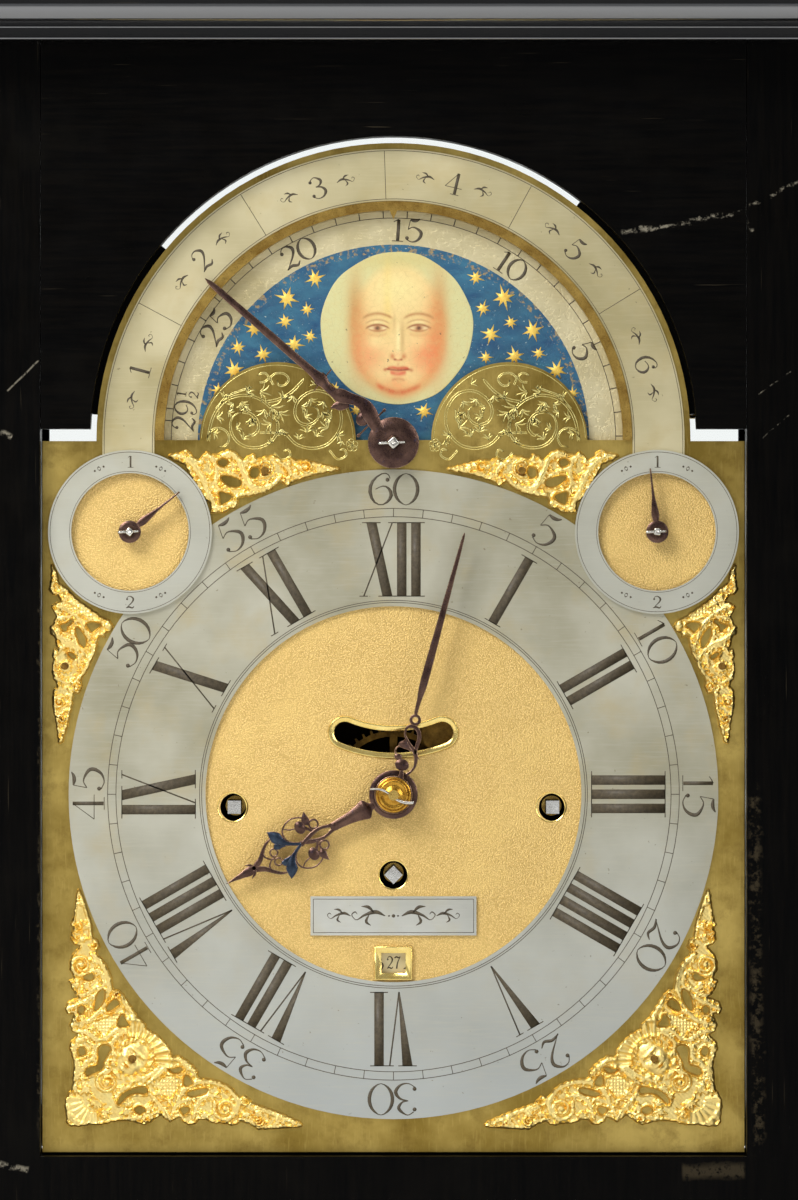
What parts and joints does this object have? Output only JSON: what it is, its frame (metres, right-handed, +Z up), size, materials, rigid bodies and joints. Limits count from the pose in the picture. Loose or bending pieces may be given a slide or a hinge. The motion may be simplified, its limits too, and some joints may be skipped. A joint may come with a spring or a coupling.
{
  "type": "bracket clock",
  "caption": "Bracket clock: ebonised case with bell top and glazed doors, arched brass dial with moon disc and silvered rings, fusee movement with verge and pendulum.",
  "frame": {"origin": "middle of the base on the surface that the clock stands on", "axes": "+Z up, the dial faces -Y, +X to the right as the dial is read"},
  "size_m": [0.4236, 0.4758, 0.5201],
  "materials": {
    "ebonised_wood": "satin",
    "case_brass": "polished",
    "clear_glass": "polished",
    "aged_brass": "aged",
    "silvered_brass": "silvered, satin",
    "gilt_brass": "gilt",
    "painted_disc": "matte",
    "hand_steel": "oxidised",
    "bright_steel": "polished",
    "movement_brass": "satin",
    "bell_metal": "satin"
  },
  "bodies": {
    "case": {"feet": "case_brass", "base_moulding": "ebonised_wood", "seat_board": "ebonised_wood", "left_side_panel": "ebonised_wood", "right_side_panel": "ebonised_wood", "side_frets": "case_brass", "front_frame": "ebonised_wood", "dial_mask": "ebonised_wood", "back_frame": "ebonised_wood", "cornice": "ebonised_wood", "bell_top": "ebonised_wood", "handle_posts": "case_brass", "door_hinges": "case_brass", "dial_plate": "aged_brass", "chapter_ring": "silvered_brass", "strike_ring": "silvered_brass", "chime_ring": "silvered_brass", "tune_ring": "silvered_brass", "moon_bezel": "aged_brass", "name_plate": "silvered_brass", "date_bezel": "gilt_brass", "corner_spandrels": "gilt_brass", "top_spandrels": "gilt_brass", "side_spandrels": "gilt_brass", "spandrel_screws": "bright_steel", "dial_feet": "aged_brass", "front_plate": "movement_brass", "back_plate": "movement_brass", "movement_pillars": "movement_brass", "bells": "bell_metal"},
    "minute_train": {"centre_wheel": "movement_brass", "minute_hand": "hand_steel"},
    "hour_train": {"hour_wheel": "movement_brass", "hour_hand": "hand_steel"},
    "minute_wheel": {"minute_wheel": "movement_brass"},
    "going_fusee": {"going_fusee": "movement_brass"},
    "going_barrel": {"going_barrel": "movement_brass"},
    "contrate_wheel": {"contrate_wheel": "movement_brass"},
    "crown_wheel": {"crown_wheel": "movement_brass"},
    "pendulum": {"verge": "bright_steel", "pendulum": "movement_brass", "mock_pendulum": "movement_brass"},
    "strike_fusee": {"strike_fusee": "movement_brass"},
    "strike_barrel": {"strike_barrel": "movement_brass"},
    "strike_pin_wheel": {"strike_pin_wheel": "movement_brass"},
    "hour_hammer": {"hour_hammer": "bright_steel"},
    "chime_fusee": {"chime_fusee": "movement_brass"},
    "chime_barrel": {"chime_barrel": "movement_brass"},
    "chime_second_wheel": {"chime_second_wheel": "movement_brass"},
    "pin_barrel": {"pin_barrel": "movement_brass"},
    "moon_disc": {"moon_disc": "painted_disc"},
    "date_disc": {"date_disc": "silvered_brass"},
    "strike_hand": {"strike_hand": "hand_steel"},
    "chime_hand": {"chime_hand": "hand_steel"},
    "tune_hand": {"tune_hand": "hand_steel"},
    "front_door": {"front_door": "ebonised_wood", "front_door_glass": "clear_glass"},
    "back_door": {"back_door": "ebonised_wood", "back_door_glass": "clear_glass"},
    "carry_handle": {"carry_handle": "case_brass"}
  },
  "joints": [
    {"name": "minute", "type": "hinge", "parent": "case", "child": "minute_train", "pos_m": [0, -0.05, 0.19], "axis": [0, 1, 0], "continuous": true},
    {"name": "hour", "type": "hinge", "parent": "case", "child": "hour_train", "pos_m": [0, -0.07, 0.19], "axis": [0, 1, 0], "continuous": true},
    {"name": "minute_wheel_turn", "type": "hinge", "parent": "case", "child": "minute_wheel", "pos_m": [0.02067, -0.06, 0.19752], "axis": [0, 1, 0], "continuous": true},
    {"name": "going_fusee_turn", "type": "hinge", "parent": "case", "child": "going_fusee", "pos_m": [0, 0, 0.1666], "axis": [0, 1, 0], "continuous": true},
    {"name": "going_barrel_turn", "type": "hinge", "parent": "case", "child": "going_barrel", "pos_m": [0, 0, 0.12], "axis": [0, 1, 0], "continuous": true},
    {"name": "contrate_turn", "type": "hinge", "parent": "case", "child": "contrate_wheel", "pos_m": [0, 0, 0.21047], "axis": [0, 1, 0], "continuous": true},
    {"name": "crown_turn", "type": "hinge", "parent": "case", "child": "crown_wheel", "pos_m": [0, -0.02214, 0.226], "axis": [0, 0, 1], "continuous": true},
    {"name": "pendulum_swing", "type": "hinge", "parent": "case", "child": "pendulum", "pos_m": [0, 0, 0.2427], "axis": [0, 1, 0], "range_deg": [0, 44]},
    {"name": "strike_fusee_turn", "type": "hinge", "parent": "case", "child": "strike_fusee", "pos_m": [-0.0461, 0, 0.1862], "axis": [0, 1, 0], "range_deg": [-2520, 2520]},
    {"name": "strike_barrel_turn", "type": "hinge", "parent": "case", "child": "strike_barrel", "pos_m": [-0.052, 0, 0.128], "axis": [0, 1, 0], "range_deg": [-1512, 1512]},
    {"name": "strike_pin_wheel_turn", "type": "hinge", "parent": "case", "child": "strike_pin_wheel", "pos_m": [-0.0461, 0, 0.2096], "axis": [0, 1, 0], "range_deg": [-30240, 30240]},
    {"name": "hour_hammer_lift", "type": "hinge", "parent": "case", "child": "hour_hammer", "pos_m": [-0.066, 0, 0.236], "axis": [0, 1, 0], "range_deg": [-12, 0], "stiffness_Nm_per_rad": 0.05, "springref_deg": 5.73},
    {"name": "chime_fusee_turn", "type": "hinge", "parent": "case", "child": "chime_fusee", "pos_m": [0.0461, 0, 0.1862], "axis": [0, 1, 0], "range_deg": [-2520, 2520]},
    {"name": "chime_barrel_turn", "type": "hinge", "parent": "case", "child": "chime_barrel", "pos_m": [0.052, 0, 0.128], "axis": [0, 1, 0], "range_deg": [-1512, 1512]},
    {"name": "chime_second_turn", "type": "hinge", "parent": "case", "child": "chime_second_wheel", "pos_m": [0.0461, 0, 0.2096], "axis": [0, 1, 0], "range_deg": [-30240, 30240]},
    {"name": "pin_barrel_turn", "type": "hinge", "parent": "case", "child": "pin_barrel", "pos_m": [0.0461, 0, 0.242], "axis": [0, 1, 0], "range_deg": [-30240, 30240]},
    {"name": "moon_turn", "type": "hinge", "parent": "case", "child": "moon_disc", "pos_m": [0, -0.074, 0.2925], "axis": [0, 1, 0], "continuous": true},
    {"name": "date_turn", "type": "hinge", "parent": "case", "child": "date_disc", "pos_m": [0, -0.074, 0.1161], "axis": [0, 1, 0], "continuous": true},
    {"name": "strike_select", "type": "hinge", "parent": "case", "child": "strike_hand", "pos_m": [-0.0762, -0.08, 0.2659], "axis": [0, 1, 0], "range_deg": [-100, 20]},
    {"name": "chime_select", "type": "hinge", "parent": "case", "child": "chime_hand", "pos_m": [0.0762, -0.08, 0.2659], "axis": [0, 1, 0], "range_deg": [-50, 50]},
    {"name": "tune_select", "type": "hinge", "parent": "case", "child": "tune_hand", "pos_m": [0, -0.08, 0.2916], "axis": [0, 1, 0], "range_deg": [-27, 122]},
    {"name": "front_door_swing", "type": "hinge", "parent": "case", "child": "front_door", "pos_m": [0.138, -0.1006, 0.2], "axis": [0, 0, 1], "range_deg": [-115, 10]},
    {"name": "back_door_swing", "type": "hinge", "parent": "case", "child": "back_door", "pos_m": [0.1176, 0.0828, 0.2], "axis": [0, 0, 1], "range_deg": [-110, 0]},
    {"name": "handle_lift", "type": "hinge", "parent": "case", "child": "carry_handle", "pos_m": [0, 0, 0.5145], "axis": [1, 0, 0], "range_deg": [0, 180]}
  ],
  "couplings": [
    {"joint": "hour", "follows": "minute", "ratio": 0.083333},
    {"joint": "minute_wheel_turn", "follows": "minute", "ratio": -0.5},
    {"joint": "going_fusee_turn", "follows": "minute", "ratio": -0.083333},
    {"joint": "going_barrel_turn", "follows": "minute", "ratio": -0.05},
    {"joint": "contrate_turn", "follows": "minute", "ratio": -12},
    {"joint": "crown_turn", "follows": "minute", "ratio": -144},
    {"joint": "strike_barrel_turn", "follows": "strike_fusee_turn", "ratio": 0.6},
    {"joint": "strike_pin_wheel_turn", "follows": "strike_fusee_turn", "ratio": -12},
    {"joint": "chime_barrel_turn", "follows": "chime_fusee_turn", "ratio": 0.6},
    {"joint": "chime_second_turn", "follows": "chime_fusee_turn", "ratio": -12},
    {"joint": "pin_barrel_turn", "follows": "chime_fusee_turn", "ratio": 12}
  ]
}
